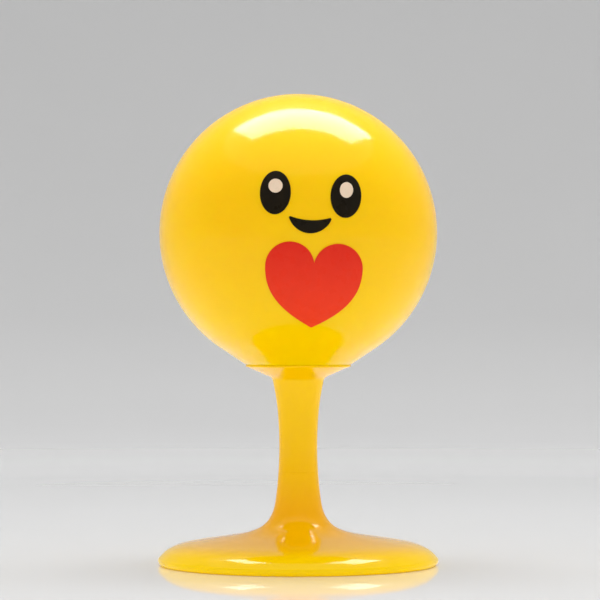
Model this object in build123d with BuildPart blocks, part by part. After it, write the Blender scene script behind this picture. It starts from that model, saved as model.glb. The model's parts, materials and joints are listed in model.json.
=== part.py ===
from build123d import *
from math import hypot
import os

# Desktop punching ball: a hollow printed ball on a springy stem with a suction foot.
# The frame stands on the middle of the foot's contact plane: +Z up, the printed face towards -Y.

# ---- driving dimensions, mm ----
ball_diameter = 80.0
ball_wall = 2.0
ball_centre_height = 95.5
ink_thickness = 0.12

foot_rim_radius = 40.35         # widest line of the foot
foot_rim_height = 1.4
foot_land_radius = 39.0         # outer edge of the flat ring that meets the table
foot_edge_radius = 40.2         # where the rounded rim turns into the top face
foot_edge_height = 2.05
cup_radius = 36.0               # mouth of the hollow underside
cup_depth = 3.2

# radius and height of the trumpet-shaped outside, from the foot's top face up to the neck
trumpet_points = [
    (38.4, 3.9), (35.4, 5.5), (30.0, 6.75), (21.0, 8.15), (14.0, 9.6), (9.9, 11.6), (7.6, 14.7),
    (6.45, 19.5), (5.8, 26.0), (5.5, 33.0), (5.75, 41.5), (6.35, 47.5), (7.35, 53.0),
]
dish_root_radius = 8.8          # where the neck has turned out into the dish
dish_root_height = 54.35
dish_rim_thickness = 0.4

cone_start_radius = 22.0        # below this circle the ball runs straight down to its seat
seat_radius = 15.2              # edge of the ball's seat, and the dish's rim
seat_dip = 1.3                  # the seat's middle lies this much lower than its edge
seat_flat_radius = 4.5
crease_height = 0.3             # open groove all round between the ball and the dish
crease_depth = 0.9

plug_shaft_radius = 2.5
plug_shaft_length = 6.5
plug_head_radius = 4.0
plug_head_thickness = 1.0
boss_radius = 5.5
boss_height = 4.5

hinge_count = 8                 # they bend the stem about Y and about X by turns
first_hinge_height = 16.0
last_hinge_height = 46.0
dome_rise = 2.0                 # from a hinge axis up to the parting line on the stem's surface
dome_gap = 0.3

face_tilt = -2.7                # degrees; the whole drawing leans this much

# ---- derived dimensions ----
ball_radius = ball_diameter / 2
ball_centre = (0, 0, ball_centre_height)
cone_start_drop = (ball_radius**2 - cone_start_radius**2) ** 0.5
cone_slope = cone_start_radius / cone_start_drop
cone_start_height = ball_centre_height - cone_start_drop
seat_height = cone_start_height - (cone_start_radius - seat_radius) * cone_slope
seat_slope = seat_dip / (seat_radius - seat_flat_radius)
seat_bottom_height = seat_height - seat_dip
crease_inner_radius = seat_radius - crease_depth
crease_inner_height = seat_height - crease_depth * seat_slope
dish_rim_top = seat_height - crease_height
dish_rim_bottom = dish_rim_top - dish_rim_thickness
cavity_radius = ball_radius - ball_wall
cavity_floor_height = seat_bottom_height + ball_wall + 0.7
cavity_floor_radius = (cavity_radius**2 - (ball_centre_height - cavity_floor_height) ** 2) ** 0.5
hinge_pitch = (last_hinge_height - first_hinge_height) / (hinge_count - 1)
hinge_heights = [first_hinge_height + i * hinge_pitch for i in range(hinge_count)]
print_plane = Plane(origin=ball_centre, x_dir=(1, 0, 0), z_dir=(0, -1, 0))

os.makedirs("parts", exist_ok=True)


# ---- the yellow moulding: foot, stem and dish in one half section ----
with BuildSketch(Plane.XZ) as moulding_half:
    with BuildLine():
        TangentArc((0, cup_depth), (cup_radius, 0), tangent=(1, 0))
        Line((cup_radius, 0), (foot_land_radius, 0))
        rim = ThreePointArc(
            (foot_land_radius, 0),
            (foot_rim_radius, foot_rim_height),
            (foot_edge_radius, foot_edge_height),
        )
        trumpet = Spline(rim @ 1, *trumpet_points)
        neck = TangentArc(trumpet @ 1, (dish_root_radius, dish_root_height), tangent=trumpet % 1)
        Polyline(
            neck @ 1,
            (seat_radius, dish_rim_bottom),
            (seat_radius, dish_rim_top),
            (crease_inner_radius, crease_inner_height),
            (seat_flat_radius, seat_bottom_height),
            (0, seat_bottom_height),
            (0, cup_depth),
        )
    make_face()


def dome_radius(hinge_height):
    """Radius of the sphere, centred on a hinge, that the stem is parted along."""
    parting_height = hinge_height + dome_rise
    for (outer, low), (inner, high) in zip(trumpet_points, trumpet_points[1:]):
        if low <= parting_height <= high:
            share = (parting_height - low) / (high - low)
            return hypot(outer + share * (inner - outer), dome_rise)


def moulding_piece(lower_hinge, upper_hinge):
    """The moulding from the hollow over one hinge to the dome round the next."""
    span = 4 * foot_rim_radius
    with BuildSketch(Plane.XZ) as kept:
        if upper_hinge is None:
            Rectangle(span, span)
        else:
            Rectangle(span, upper_hinge, align=(Align.CENTER, Align.MIN))
            with Locations((0, upper_hinge)):
                Circle(dome_radius(upper_hinge))
        if lower_hinge is not None:
            Rectangle(span, lower_hinge, align=(Align.CENTER, Align.MIN), mode=Mode.SUBTRACT)
            Rectangle(span, span, align=(Align.CENTER, Align.MAX), mode=Mode.SUBTRACT)
            with Locations((0, lower_hinge)):
                Circle(dome_radius(lower_hinge) + dome_gap, mode=Mode.SUBTRACT)
    with BuildPart() as piece:
        with BuildSketch(Plane.XZ):
            add(moulding_half.sketch_local)
            add(kept.sketch_local, mode=Mode.INTERSECT)
        revolve(axis=Axis.Z)
    return piece


suction_foot = moulding_piece(None, hinge_heights[0])
suction_foot.part.label = "suction_foot"
export_step(suction_foot.part, "parts/suction_foot.step")

for number, (lower, upper) in enumerate(zip(hinge_heights, hinge_heights[1:]), start=1):
    stem_link = moulding_piece(lower, upper)
    stem_link.part.label = f"stem_link_{number}"
    export_step(stem_link.part, f"parts/stem_link_{number}.step")

ball_cradle = moulding_piece(hinge_heights[-1], None)
ball_cradle.part.label = "ball_cradle"
export_step(ball_cradle.part, "parts/ball_cradle.step")


# ---- the hollow ball, with a boss inside round its filling hole ----
with BuildPart() as ball_shell:
    with BuildSketch(Plane.XZ):
        with BuildLine():
            ThreePointArc(
                (0, ball_centre_height + ball_radius),
                (ball_radius, ball_centre_height),
                (cone_start_radius, cone_start_height),
            )
            Polyline(
                (cone_start_radius, cone_start_height),
                (seat_radius, seat_height),
                (seat_flat_radius, seat_bottom_height),
                (0, seat_bottom_height),
                (0, ball_centre_height + ball_radius),
            )
        make_face()
        with BuildLine():
            ThreePointArc(
                (0, ball_centre_height + cavity_radius),
                (cavity_radius, ball_centre_height),
                (cavity_floor_radius, cavity_floor_height),
            )
            Polyline(
                (cavity_floor_radius, cavity_floor_height),
                (0, cavity_floor_height),
                (0, ball_centre_height + cavity_radius),
            )
        make_face(mode=Mode.SUBTRACT)
    revolve(axis=Axis.Z)
    with BuildSketch(Plane.XY.offset(cavity_floor_height)):
        Circle(boss_radius)
    extrude(amount=boss_height)
    with BuildSketch(Plane.XY.offset(seat_bottom_height)):
        Circle(plug_shaft_radius)
    extrude(amount=ball_radius / 2, mode=Mode.SUBTRACT)
    with BuildSketch(Plane.XY.offset(seat_bottom_height)):
        Circle(plug_head_radius)
    extrude(amount=plug_head_thickness, mode=Mode.SUBTRACT)
ball_shell.part.label = "ball_shell"
export_step(ball_shell.part, "parts/ball_shell.step")

with BuildPart() as air_plug:
    with BuildSketch(Plane.XY.offset(seat_bottom_height)):
        Circle(plug_head_radius)
    extrude(amount=plug_head_thickness)
    with BuildSketch(Plane.XY.offset(seat_bottom_height)):
        Circle(plug_shaft_radius)
    extrude(amount=plug_shaft_length)
    chamfer(air_plug.edges().sort_by(Axis.Z)[-1], length=0.6)
air_plug.part.label = "air_plug"
export_step(air_plug.part, "parts/air_plug.step")


# ---- the printing: flat drawings cast along Y onto a thin skin over the ball ----
with BuildPart() as ink_skin:
    with Locations(ball_centre):
        Sphere(ball_radius + ink_thickness)
        Sphere(ball_radius, mode=Mode.SUBTRACT)


def write_ink(drawing, name):
    """Cast a drawing onto the ball as its own thin layer."""
    with BuildPart() as layer:
        with BuildSketch(print_plane):
            add(drawing.sketch_local)
        extrude(amount=ball_diameter)
        add(ink_skin.part, mode=Mode.INTERSECT)
    layer.part.label = name
    export_step(layer.part, f"parts/{name}.step")


# eyes: upright ovals, each with a pale glint let into it
eye_half_width = 4.27
eye_half_height = 6.05
eyes = {
    "left_eye": ((-6.3, 10.35), (-6.25, 12.25), (1.95, 1.95)),
    "right_eye": ((13.2, 9.4), (13.35, 11.1), (1.85, 2.2)),
}
for eye_name, (eye_centre, glint_centre, glint_half_size) in eyes.items():
    with BuildSketch() as glint:
        with Locations(Location((*glint_centre, 0), (0, 0, face_tilt))):
            Ellipse(*glint_half_size)
    with BuildSketch() as eye:
        with Locations(Location((*eye_centre, 0), (0, 0, face_tilt))):
            Ellipse(eye_half_width, eye_half_height)
        add(glint.sketch_local, mode=Mode.SUBTRACT)
    write_ink(eye, f"{eye_name}_print")
    write_ink(glint, f"{eye_name}_glint")

# mouth: a shallow curve above and a deep one below, between two rounded corners
mouth_middle = (3.35, 3.75)
mouth_half_width = 6.05
mouth_top_sag = 1.1
mouth_depth = 4.7
with BuildSketch() as mouth:
    with Locations(Location((*mouth_middle, 0), (0, 0, face_tilt))):
        with BuildLine(mode=Mode.PRIVATE) as lips:
            left_corner = (-mouth_half_width, 0)
            right_corner = (mouth_half_width, 0)
            ThreePointArc(left_corner, (0, -mouth_top_sag), right_corner)
            ThreePointArc(left_corner, (0, -mouth_depth), right_corner)
        add(make_face(lips.edges(), mode=Mode.PRIVATE))
    fillet(mouth.vertices(), radius=0.35)
write_ink(mouth, "mouth_print")

# heart: two round lobes over a plump point, under the mouth
heart_tip = (3.6, -27.0)
lobe_radius = 6.8
lobe_centre = (6.7, 16.7)
flank = (9.4, 6.4)
with BuildLine() as heart_outline:
    for side in (-1, 1):
        lobe_side = (side * (lobe_centre[0] + lobe_radius), lobe_centre[1])
        lobe_top = (side * lobe_centre[0], lobe_centre[1] + lobe_radius)
        cleft = (0, lobe_centre[1] + (lobe_radius**2 - lobe_centre[0] ** 2) ** 0.5)
        ThreePointArc(cleft, lobe_top, lobe_side)
        Spline(
            lobe_side, (side * flank[0], flank[1]), (0, 0),
            tangents=((0, -1), (-side * 0.9, -0.45)),
        )
with BuildSketch() as heart:
    with Locations(Location((*heart_tip, 0), (0, 0, face_tilt))):
        add(make_face(heart_outline.edges(), mode=Mode.PRIVATE))
write_ink(heart, "heart_print")
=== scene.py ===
import json
import math

import bpy
import numpy as np
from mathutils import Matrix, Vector


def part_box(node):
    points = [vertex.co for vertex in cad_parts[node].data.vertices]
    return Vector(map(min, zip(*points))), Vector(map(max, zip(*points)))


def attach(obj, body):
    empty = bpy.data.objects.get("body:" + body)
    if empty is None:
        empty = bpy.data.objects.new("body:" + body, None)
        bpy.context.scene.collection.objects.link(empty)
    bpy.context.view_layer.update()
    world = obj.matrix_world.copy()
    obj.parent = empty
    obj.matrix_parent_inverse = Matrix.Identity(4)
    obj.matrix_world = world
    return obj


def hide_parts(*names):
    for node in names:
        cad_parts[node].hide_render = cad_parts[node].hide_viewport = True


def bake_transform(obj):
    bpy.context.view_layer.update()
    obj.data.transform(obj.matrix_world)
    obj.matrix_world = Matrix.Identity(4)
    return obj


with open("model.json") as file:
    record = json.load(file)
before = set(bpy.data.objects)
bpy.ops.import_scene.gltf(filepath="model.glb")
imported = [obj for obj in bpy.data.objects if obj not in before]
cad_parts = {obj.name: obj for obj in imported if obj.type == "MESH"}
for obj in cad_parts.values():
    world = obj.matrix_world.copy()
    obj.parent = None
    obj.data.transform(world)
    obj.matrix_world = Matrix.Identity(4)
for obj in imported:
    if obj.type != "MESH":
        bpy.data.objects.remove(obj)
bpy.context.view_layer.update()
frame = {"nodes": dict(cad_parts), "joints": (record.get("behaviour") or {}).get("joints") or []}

# ---- sizes in metres; heights and places come from the frame ----
MM = 0.001
ROUND_STEPS = 256               # facets round the axis

ball_low, ball_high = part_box("ball_shell")
foot_low, foot_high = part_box("suction_foot")
cradle_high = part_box("ball_cradle")[1]

BALL_RADIUS = (ball_high.x - ball_low.x) / 2
BALL_CENTRE = ball_high.z - BALL_RADIUS
SEAT_BOTTOM = ball_low.z
SEAT_RADIUS = cradle_high.x
SEAT_DIP = 1.3 * MM
SEAT_FLAT_RADIUS = 4.5 * MM
CONE_START_RADIUS = 22.0 * MM
BALL_EDGE_ROUNDING = 0.13 * MM
CREASE_HEIGHT = 0.03 * MM
DISH_RIM_THICKNESS = 0.5 * MM
DISH_RIM_ROUNDING = 0.1 * MM
DISH_ROOT = (8.8 * MM, 54.35 * MM)
NECK_TOP = 52.9 * MM            # the skin turns out from the neck here
NECK_TURN_RADIUS = 9.3 * MM     # and has become the dish's underside here

FOOT_RADIUS = min(-foot_low.x, -foot_low.y, foot_high.x, foot_high.y)
RIM_HEIGHT = 1.4 * MM
LAND_RADIUS = 39.0 * MM
RIM_TOP = (40.2 * MM, 2.05 * MM)
CUP_RADIUS = 36.0 * MM
CUP_DEPTH = 3.2 * MM
TRUMPET = [
    (38.4, 3.9), (35.4, 5.5), (30.0, 6.75), (21.0, 8.15), (14.0, 9.6), (9.9, 11.6), (7.6, 14.7),
    (6.45, 19.5), (5.8, 26.0), (5.5, 33.0), (5.75, 41.5), (6.35, 47.5), (7.35, 53.0),
]

hinges = frame["joints"]
hinge_heights = [joint["pos_m"][2] for joint in hinges]
HINGE_PITCH = hinge_heights[1] - hinge_heights[0]


# ---- curves ----
def smooth_through(points, steps):
    """A natural cubic spline through the points, sampled steps times on each span."""
    p = np.array(points, float)
    t = np.concatenate([[0], np.cumsum(np.linalg.norm(np.diff(p, axis=0), axis=1))])
    h = np.diff(t)
    n = len(p)
    system = np.eye(n)
    target = np.zeros_like(p)
    for i in range(1, n - 1):
        system[i, i - 1:i + 2] = h[i - 1], 2 * (h[i - 1] + h[i]), h[i]
        target[i] = 6 * ((p[i + 1] - p[i]) / h[i] - (p[i] - p[i - 1]) / h[i - 1])
    bend = np.linalg.solve(system, target)
    curve = []
    for i in range(n - 1):
        for u in np.linspace(0, h[i], steps, endpoint=False):
            v = h[i] - u
            curve.append(
                (bend[i] * v**3 + bend[i + 1] * u**3) / (6 * h[i])
                + (p[i] / h[i] - bend[i] * h[i] / 6) * v
                + (p[i + 1] / h[i] - bend[i + 1] * h[i] / 6) * u
            )
    return [tuple(c) for c in curve] + [tuple(p[-1])]


def arc(centre, radius, start, end, steps):
    """Points on an arc, angles in degrees from the radial direction."""
    angles = np.radians(np.linspace(start, end, steps + 1))
    return [(centre[0] + radius * math.cos(a), centre[1] + radius * math.sin(a)) for a in angles]


def arc_through(a, b, c, steps):
    """The arc from a through b to c."""
    (ax, ay), (bx, by), (cx, cy) = a, b, c
    d = 2 * (ax * (by - cy) + bx * (cy - ay) + cx * (ay - by))
    sa, sb, sc = ax * ax + ay * ay, bx * bx + by * by, cx * cx + cy * cy
    ux = (sa * (by - cy) + sb * (cy - ay) + sc * (ay - by)) / d
    uy = (sa * (cx - bx) + sb * (ax - cx) + sc * (bx - ax)) / d
    radius = math.hypot(ax - ux, ay - uy)
    first = math.degrees(math.atan2(ay - uy, ax - ux))
    last = math.degrees(math.atan2(cy - uy, cx - ux))
    middle = math.degrees(math.atan2(by - uy, bx - ux))
    if not min(first, last) <= middle <= max(first, last):
        last += 360 if last < first else -360
    return arc((ux, uy), radius, first, last, steps)


def rounded_corner(before, corner, after, radius, steps=6):
    """The corner cut by an arc of about this radius, as a short curve through three points."""
    def towards(a, b):
        d = math.hypot(b[0] - a[0], b[1] - a[1])
        return (a[0] + (b[0] - a[0]) * radius / d, a[1] + (b[1] - a[1]) * radius / d)
    start, end = towards(corner, before), towards(corner, after)
    bend = []
    for i in range(steps + 1):
        t = i / steps
        bend.append(tuple(
            (1 - t) ** 2 * s + 2 * t * (1 - t) * c + t**2 * e
            for s, c, e in zip(start, corner, end)
        ))
    return bend


def turned(before, start, end, after, steps, tightness=0.8):
    """A smooth bend that leaves start along before-start and reaches end along end-after."""
    ux, uy = start[0] - before[0], start[1] - before[1]
    vx, vy = after[0] - end[0], after[1] - end[1]
    wx, wy = end[0] - start[0], end[1] - start[1]
    reach = (wx * vy - wy * vx) / (ux * vy - uy * vx)
    corner = (start[0] + ux * reach, start[1] + uy * reach)
    c1 = [s + (c - s) * tightness for s, c in zip(start, corner)]
    c2 = [e + (c - e) * tightness for e, c in zip(end, corner)]
    bend = []
    for i in range(steps + 1):
        t = i / steps
        bend.append(tuple(
            (1 - t) ** 3 * s + 3 * t * (1 - t) ** 2 * a + 3 * t**2 * (1 - t) * b + t**3 * e
            for s, a, b, e in zip(start, c1, c2, end)
        ))
    return bend


def line(a, b, steps):
    return [(a[0] + (b[0] - a[0]) * i / steps, a[1] + (b[1] - a[1]) * i / steps)
            for i in range(steps + 1)]


def joined(*stretches):
    """One outline from several, without doubled points."""
    outline = []
    for stretch in stretches:
        for point in stretch:
            if not outline or math.dist(outline[-1], point) > 1e-7:
                outline.append(point)
    return outline


# ---- lathe ----
def lathe(name, outline, sharp_ends=()):
    """A closed body of revolution. Outline runs from axis to axis; edges at the radii in
    sharp_ends, (radius, height) pairs, stay crisp where an inner end cap meets the skin."""
    verts, faces = [], []
    rings = []
    for radius, height in outline:
        if radius < 1e-9:
            rings.append([len(verts)])
            verts.append((0, 0, height))
            continue
        ring = []
        for k in range(ROUND_STEPS):
            a = 2 * math.pi * k / ROUND_STEPS
            ring.append(len(verts))
            verts.append((radius * math.sin(a), -radius * math.cos(a), height))
        rings.append(ring)
    for low, high in zip(rings, rings[1:]):
        for k in range(ROUND_STEPS):
            n = (k + 1) % ROUND_STEPS
            if len(low) == 1:
                faces.append((low[0], high[n], high[k]))
            elif len(high) == 1:
                faces.append((low[k], low[n], high[0]))
            else:
                faces.append((low[k], low[n], high[n], high[k]))
    mesh = bpy.data.meshes.new(name)
    mesh.from_pydata(verts, [], faces)
    mesh.validate()
    mesh.polygons.foreach_set("use_smooth", [True] * len(mesh.polygons))
    crisp = {(round(r / MM, 3), round(h / MM, 3)) for r, h in sharp_ends}
    if crisp:
        keys = [(round(math.hypot(v.co.x, v.co.y) / MM, 3), round(v.co.z / MM, 3))
                for v in mesh.vertices]
        sharp = [keys[e.vertices[0]] in crisp and keys[e.vertices[0]] == keys[e.vertices[1]]
                 for e in mesh.edges]
        attribute = mesh.attributes.new("sharp_edge", "BOOLEAN", "EDGE")
        attribute.data.foreach_set("value", sharp)
    remember_rest(mesh)
    piece = bpy.data.objects.new(name, mesh)
    bpy.context.scene.collection.objects.link(piece)
    return piece


def remember_rest(mesh):
    """Keeps each point's place at rest, so that patterns stay on a piece that bends."""
    rest = mesh.attributes.new("rest", "FLOAT_VECTOR", "POINT")
    place = np.zeros(len(mesh.vertices) * 3, np.float32)
    mesh.vertices.foreach_get("co", place)
    rest.data.foreach_set("vector", place)


# ---- materials ----
class Nodes:
    """Short calls for building one material's node tree."""

    def __init__(self, name):
        self.material = bpy.data.materials.new(name)
        self.material.use_nodes = True
        self.tree = self.material.node_tree
        self.tree.nodes.clear()
        self.output = self.add("ShaderNodeOutputMaterial")
        self.shader = self.add("ShaderNodeBsdfPrincipled")
        self.link(self.shader.outputs[0], self.output.inputs["Surface"])

    def add(self, kind, **values):
        node = self.tree.nodes.new(kind)
        for key, value in values.items():
            if hasattr(node, key):
                setattr(node, key, value)
            else:
                node.inputs[key.replace("_", " ").title()].default_value = value
        return node

    def link(self, source, target):
        self.tree.links.new(source, target)

    def rest_place(self):
        node = self.add("ShaderNodeAttribute", attribute_name="rest")
        return node.outputs["Vector"]

    def noise(self, place, scale, detail=2.0, roughness=0.5):
        node = self.add("ShaderNodeTexNoise")
        node.inputs["Scale"].default_value = scale
        node.inputs["Detail"].default_value = detail
        node.inputs["Roughness"].default_value = roughness
        self.link(place, node.inputs["Vector"])
        return node.outputs["Fac"]

    def span(self, value, low, high, to_low, to_high):
        node = self.add("ShaderNodeMapRange")
        self.link(value, node.inputs["Value"])
        ends = (("From Min", low), ("From Max", high), ("To Min", to_low), ("To Max", to_high))
        for key, number in ends:
            node.inputs[key].default_value = number
        return node.outputs["Result"]

    def ramp(self, value, stops, interpolation="LINEAR"):
        node = self.add("ShaderNodeValToRGB")
        node.color_ramp.interpolation = interpolation
        elements = node.color_ramp.elements
        while len(elements) < len(stops):
            elements.new(0.5)
        for element, (position, colour) in zip(elements, stops):
            element.position = position
            element.color = (*linear(colour), 1)
        self.link(value, node.inputs["Fac"])
        return node.outputs["Color"]

    def mix(self, factor, a, b, blend="MIX"):
        node = self.add("ShaderNodeMix", data_type="RGBA", blend_type=blend)
        for socket, value in ((node.inputs[0], factor), (node.inputs[6], a), (node.inputs[7], b)):
            if isinstance(value, bpy.types.NodeSocket):
                self.link(value, socket)
            elif isinstance(value, tuple):
                socket.default_value = (*linear(value), 1)
            else:
                socket.default_value = value
        return node.outputs[2]

    def height(self, place):
        node = self.add("ShaderNodeSeparateXYZ")
        self.link(place, node.inputs[0])
        return node.outputs["Z"]

    def bump(self, height, distance, strength=1.0):
        node = self.add("ShaderNodeBump")
        node.inputs["Distance"].default_value = distance
        node.inputs["Strength"].default_value = strength
        self.link(height, node.inputs["Height"])
        self.link(node.outputs["Normal"], self.shader.inputs["Normal"])
        return node

    def put(self, name, value):
        socket = self.shader.inputs[name]
        if isinstance(value, bpy.types.NodeSocket):
            self.link(value, socket)
        else:
            socket.default_value = value


def linear(colour):
    """0-255 display values as linear light."""
    scaled = [c / 255 for c in colour]
    return tuple(c / 12.92 if c <= 0.04045 else ((c + 0.055) / 1.055) ** 2.4 for c in scaled)


def moulding_material():
    """Deep yellow soft rubber with painted translucency: painted shade by height, redder where the stem is
    thick, greener at the thin rim, and a painted glow along the foot's bottom edge.
    """
    n = Nodes("yellow_moulding_rubber")
    place = n.rest_place()
    height = n.span(n.height(place), 0, 57 * MM, 0, 1)
    # painted shade: base colour graded by height stands in for light through the rubber, deepest orange on
    # the flare and lower stem
    colour = n.ramp(height, [
        (0.0, (253, 212, 0)), (0.08, (253, 207, 0)), (0.13, (252, 190, 0)), (0.26, (252, 183, 0)),
        (0.43, (252, 196, 0)), (0.6, (253, 202, 0)), (0.9, (255, 208, 0)),
    ])
    cloud = n.span(n.noise(place, 45, 3), 0.3, 0.7, 0.0, 0.12)
    colour = n.mix(cloud, colour, (255, 210, 20))
    n.put("Base Color", colour)
    n.put("Roughness", n.span(n.noise(place, 160, 4), 0.3, 0.7, 0.06, 0.11))
    n.shader.inputs["IOR"].default_value = 1.5
    n.shader.inputs["Specular IOR Level"].default_value = 0.2
    n.bump(n.noise(place, 700, 3), 0.00002, 0.5)
    # painted glow: emission on the bottom 2.4 mm of the foot stands in for light coming through the rubber
    # at its edge
    painted_glow = n.span(n.height(place), 0.2 * MM, 2.4 * MM, 0.2, 0)
    n.put("Emission Color", (*linear((255, 214, 0)), 1))
    n.put("Emission Strength", painted_glow)
    return n.material


def ball_material():
    """Bright yellow translucent rubber skin, with painted shade by height: paler at the bottom as if lit
    from the floor, deeper through the middle band.
    """
    n = Nodes("yellow_ball_rubber")
    place = n.rest_place()
    height = n.span(n.height(place), 56 * MM, 136 * MM, 0, 1)
    # painted shade: base colour graded by height, a painted floor bounce low down and painted shade across
    # the middle band
    colour = n.ramp(height, [
        (0.0, (255, 214, 0)), (0.16, (255, 208, 0)), (0.34, (255, 198, 0)), (0.6, (255, 195, 0)),
        (0.85, (255, 202, 0)),
    ])
    cloud = n.span(n.noise(place, 30, 3), 0.3, 0.7, 0.0, 0.35)
    colour = n.mix(cloud, colour, (255, 208, 4))
    n.put("Base Color", colour)
    n.put("Roughness", n.span(n.noise(place, 120, 4), 0.3, 0.7, 0.08, 0.14))
    n.shader.inputs["IOR"].default_value = 1.5
    n.shader.inputs["Specular IOR Level"].default_value = 0.2
    n.shader.inputs["Subsurface Weight"].default_value = 0.35
    n.shader.inputs["Subsurface Radius"].default_value = (1.0, 0.5, 0.08)
    n.shader.inputs["Subsurface Scale"].default_value = 0.006
    n.bump(n.noise(place, 500, 3), 0.00002, 0.5)
    return n.material


def ink_material(name, colour, worn, roughness, lower=None):
    """Printed ink: faint thin patches, and a slow change to the lower colour if one is given."""
    n = Nodes(name)
    coordinates = n.add("ShaderNodeTexCoord").outputs["Object"]
    patches = n.span(n.noise(coordinates, 400, 4, 0.6), 0.45, 0.85, 0.0, 0.4)
    if lower:
        drop = n.span(n.height(coordinates), 70 * MM, 95 * MM, 0, 1)
        colour = n.mix(drop, lower, colour)
    n.put("Base Color", n.mix(patches, colour, worn))
    n.put("Roughness", n.span(n.noise(coordinates, 300, 3), 0.3, 0.7, roughness - 0.05, roughness + 0.08))
    n.shader.inputs["IOR"].default_value = 1.5
    n.shader.inputs["Specular IOR Level"].default_value = 0.12
    n.bump(n.noise(coordinates, 1500, 2), 0.00001, 0.4)
    return n.material


yellow_moulding = moulding_material()
yellow_ball = ball_material()
dark_ink = ink_material("dark_ink_print", (22, 16, 6), (44, 34, 14), 0.3)
red_ink = ink_material("red_ink_print", (214, 34, 22), (224, 56, 30), 0.28, lower=(240, 62, 28))
pale_ink = ink_material("pale_ink_print", (230, 206, 180), (220, 194, 164), 0.3)
plug_rubber = ink_material("plug_rubber", (228, 226, 218), (210, 206, 196), 0.5)


def dress(piece, material):
    piece.data.materials.clear()
    piece.data.materials.append(material)


# ---- foot, stem and dish: smooth skins over the jointed frame ----
rim = arc_through((LAND_RADIUS, 0), (FOOT_RADIUS, RIM_HEIGHT), RIM_TOP, 24)
trumpet = smooth_through([RIM_TOP] + [(r * MM, z * MM) for r, z in TRUMPET], 24)


def radius_at(height):
    """Radius of the trumpet's skin at a height above the flare."""
    for (r0, z0), (r1, z1) in zip(trumpet, trumpet[1:]):
        if z0 <= height <= z1:
            return r0 + (r1 - r0) * (height - z0) / (z1 - z0)
    raise ValueError(height)


def skin_between(low, high):
    """The trumpet's skin from one height to another."""
    inner = [(r, z) for r, z in trumpet if low + 1e-6 < z < high - 1e-6]
    start, end = (radius_at(low), low), (radius_at(high), high)
    outline = [start]
    for point in inner + [end]:
        gap = math.dist(outline[-1], point)
        count = max(1, math.ceil(gap / (0.4 * MM)))
        outline += line(outline[-1], point, count)[1:]
    return outline


seams = [hinge_heights[0] - HINGE_PITCH / 2] + [h + HINGE_PITCH / 2 for h in hinge_heights]

cup_mouth = (CUP_RADIUS, 0)
cup_bulge = (CUP_DEPTH**2 + CUP_RADIUS**2) / (2 * CUP_DEPTH)
cup_roof = [
    (r, CUP_DEPTH - cup_bulge + math.sqrt(cup_bulge**2 - r**2))
    for r in np.linspace(0, CUP_RADIUS, 61)
]
flare_top = (radius_at(seams[0]), seams[0])
foot_outline = joined(
    cup_roof[:-1],
    rounded_corner(cup_roof[-2], cup_mouth, (LAND_RADIUS, 0), 0.3 * MM),
    line((CUP_RADIUS + 0.3 * MM, 0), (LAND_RADIUS, 0), 8),
    rim,
    [p for p in trumpet if p[1] < seams[0] - 1e-6],
    [flare_top, (0, seams[0])],
)
foot = lathe("suction_foot_skin", foot_outline, [flare_top])
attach(foot, "foot")
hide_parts("suction_foot")
dress(foot, yellow_moulding)

for number, joint in enumerate(hinges):
    low, high = seams[number], seams[number + 1]
    skin = skin_between(low, high)
    stem = lathe(f"stem_skin_{number + 1}", [(0, low)] + skin + [(0, high)], [skin[0], skin[-1]])
    dress(stem, yellow_moulding)
    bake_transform(stem)
    if joint["child"] != "head":
        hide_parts(joint["child"])

dish_rim_top = SEAT_BOTTOM + SEAT_DIP - CREASE_HEIGHT
dish_rim_low = dish_rim_top - DISH_RIM_THICKNESS
dish_rim_corner = (SEAT_RADIUS, dish_rim_low)
neck_skin = skin_between(seams[-1], NECK_TOP)
dish_slope = (dish_rim_corner[1] - DISH_ROOT[1]) / (dish_rim_corner[0] - DISH_ROOT[0])
neck_turn_end = (NECK_TURN_RADIUS, DISH_ROOT[1] + dish_slope * (NECK_TURN_RADIUS - DISH_ROOT[0]))
dish_outline = joined(
    [(0, seams[-1])],
    neck_skin,
    turned(neck_skin[-2], neck_skin[-1], neck_turn_end, dish_rim_corner, 16),
    line(neck_turn_end, dish_rim_corner, 16)[:-1],
    rounded_corner(DISH_ROOT, (SEAT_RADIUS, dish_rim_low), (SEAT_RADIUS, dish_rim_top), DISH_RIM_ROUNDING),
    rounded_corner(
        (SEAT_RADIUS, dish_rim_low), (SEAT_RADIUS, dish_rim_top),
        (SEAT_RADIUS - 1 * MM, dish_rim_top), DISH_RIM_ROUNDING,
    ),
    [
        (SEAT_RADIUS - 1.2 * MM, dish_rim_top),
        (SEAT_FLAT_RADIUS, SEAT_BOTTOM - 0.05 * MM),
        (0, SEAT_BOTTOM - 0.05 * MM),
    ],
)
dish = lathe("dish_skin", dish_outline, [(radius_at(seams[-1]), seams[-1])])
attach(dish, "head")
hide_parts("ball_cradle")
dress(dish, yellow_moulding)

# ---- ball ----
cone_start = (CONE_START_RADIUS, BALL_CENTRE - math.sqrt(BALL_RADIUS**2 - CONE_START_RADIUS**2))
seat_edge = (SEAT_RADIUS, SEAT_BOTTOM + SEAT_DIP)
seat_flat = (SEAT_FLAT_RADIUS, SEAT_BOTTOM)
cone_angle = math.degrees(math.atan2(cone_start[1] - BALL_CENTRE, cone_start[0]))
ball_outline = joined(
    [(0, SEAT_BOTTOM), seat_flat],
    line(seat_flat, (SEAT_RADIUS - BALL_EDGE_ROUNDING, seat_edge[1] - 0.1 * MM), 8),
    rounded_corner(seat_flat, seat_edge, cone_start, BALL_EDGE_ROUNDING),
    line(seat_edge, cone_start, 16)[1:],
    arc((0, BALL_CENTRE), BALL_RADIUS, cone_angle, 89.4, 180),
    [(0, ball_high.z)],
)
ball = lathe("ball_skin", ball_outline)
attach(ball, "head")
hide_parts("ball_shell")
dress(ball, yellow_ball)

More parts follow.
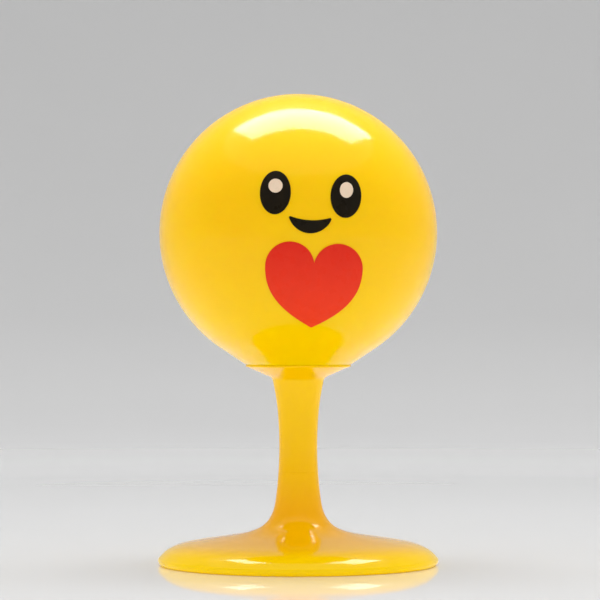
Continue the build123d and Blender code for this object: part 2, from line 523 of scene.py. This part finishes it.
# ---- printing and plug: the CAD pieces in their own materials ----
inks = {
    "left_eye_print": dark_ink, "right_eye_print": dark_ink, "mouth_print": dark_ink,
    "heart_print": red_ink, "left_eye_glint": pale_ink, "right_eye_glint": pale_ink,
    "air_plug": plug_rubber,
}
for node, material in inks.items():
    part = frame["nodes"][node]
    for material_slot in part.material_slots:
        material_slot.material = material


# ---- studio ----
# painted shade: floor and wall grey levels by distance from the middle, evening out the lamps' pool of
# light and darkening the wall
STAGE_PAINTED_SHADE = [
    (0.0, 239), (0.12, 238), (0.3, 236), (0.65, 240), (1.1, 237), (1.3, 223), (1.7, 202), (2.0, 202),
]


def studio_bowl():
    """A pale glossy table that sweeps up all round into a plain wall, its colour darkened and lightened by
    distance from the middle as painted shade.
    """
    flat_radius, sweep, sweep_height, wall_height = 0.8, 1.2, 0.9, 2.2
    outline = joined(
        [(0, 0)] + [(r, 0) for r in (0.02, 0.05, 0.1, 0.2, 0.4, flat_radius)],
        [(flat_radius + sweep * t, sweep_height * t**3) for t in np.linspace(0, 1, 33)],
        [(flat_radius + sweep, wall_height)],
    )
    verts, faces = [], []
    steps = 96
    for radius, height in outline:
        for k in range(steps):
            a = 2 * math.pi * k / steps
            verts.append((radius * math.cos(a), radius * math.sin(a), height))
    for i in range(len(outline) - 1):
        for k in range(steps):
            n = (k + 1) % steps
            faces.append((i * steps + k, i * steps + n, (i + 1) * steps + n, (i + 1) * steps + k))
    mesh = bpy.data.meshes.new("studio_bowl")
    mesh.from_pydata(verts, [], faces)
    mesh.polygons.foreach_set("use_smooth", [True] * len(mesh.polygons))
    bowl = bpy.data.objects.new("studio_bowl", mesh)
    bpy.context.scene.collection.objects.link(bowl)
    n = Nodes("pale_table")
    coordinates = n.add("ShaderNodeTexCoord").outputs["Object"]
    faint = n.span(n.noise(coordinates, 3, 2), 0.3, 0.7, 0.0, 1.0)
    plain = n.mix(faint, (252, 252, 252), (255, 255, 255))
    flat = n.add("ShaderNodeVectorMath", operation="MULTIPLY")
    flat.inputs[1].default_value = (1, 1, 0)
    n.link(coordinates, flat.inputs[0])
    reach = n.add("ShaderNodeVectorMath", operation="LENGTH")
    n.link(flat.outputs["Vector"], reach.inputs[0])
    # painted shade graded by distance, multiplied into the table's colour
    shade = n.ramp(n.span(reach.outputs["Value"], 0, 2, 0, 1), [
        (radius / 2, (level, level, level)) for radius, level in STAGE_PAINTED_SHADE
    ], "B_SPLINE")
    n.put("Base Color", n.mix(1.0, plain, shade, "MULTIPLY"))
    n.put("Roughness", n.span(reach.outputs["Value"], 0.4, 1.0, 0.025, 0.5))
    n.shader.inputs["IOR"].default_value = 1.5
    dress(bowl, n.material)


def area_light(name, place, target, size, power):
    light = bpy.data.lights.new(name, "AREA")
    light.shape = "RECTANGLE"
    light.size, light.size_y = size
    light.energy = power
    lamp = bpy.data.objects.new(name, light)
    bpy.context.scene.collection.objects.link(lamp)
    aim = Vector(target) - Vector(place)
    lamp.location = place
    lamp.rotation_euler = aim.to_track_quat("-Z", "Y").to_euler()
    return lamp


studio_bowl()
world = bpy.data.worlds.new("studio_light")
world.use_nodes = True
background = world.node_tree.nodes["Background"]
background.inputs["Color"].default_value = (1, 1, 1, 1)
background.inputs["Strength"].default_value = 1.09
bpy.context.scene.world = world

box_centre = (0.03, 0.13, BALL_CENTRE + 0.533)
box_target = (0.03, 0.0, BALL_CENTRE + 0.30)
area_light("overhead_sheen", box_centre, box_target, (0.65, 0.275), 8.0).visible_diffuse = False
above = (box_centre[0], box_centre[1] + 0.02, box_centre[2] + 0.04)
area_light("overhead_softbox", above, box_target, (0.65, 0.275), 3.2).visible_glossy = False
for side, name in ((-1, "left_fill"), (1, "right_fill")):
    turn = math.radians(62)
    place = (side * 1.1 * math.sin(turn), -1.1 * math.cos(turn), 0.3)
    fill = area_light(name, place, (0, 0, 0.06), (0.6, 0.3), 3.0)
    fill.visible_glossy = False
    fill.visible_camera = False

# ---- camera: level, a little over half the object's height ----
CAMERA_DISTANCE = 0.9
CAMERA_HEIGHT = 0.0762
VIEW_WIDTH = 0.1727             # seen across the picture at the stem's axis
SIDE_STEP = 0.0005
SENSOR = 36.0
camera_data = bpy.data.cameras.new("camera")
camera_data.sensor_width = SENSOR
camera_data.lens = SENSOR * CAMERA_DISTANCE / VIEW_WIDTH
camera_data.clip_start, camera_data.clip_end = 0.05, 20
camera = bpy.data.objects.new("camera", camera_data)
camera.location = (SIDE_STEP, -CAMERA_DISTANCE, CAMERA_HEIGHT)
camera.rotation_euler = (math.radians(90), 0, 0)
bpy.context.scene.collection.objects.link(camera)
bpy.context.scene.camera = camera
bpy.context.scene.view_settings.view_transform = "Standard"
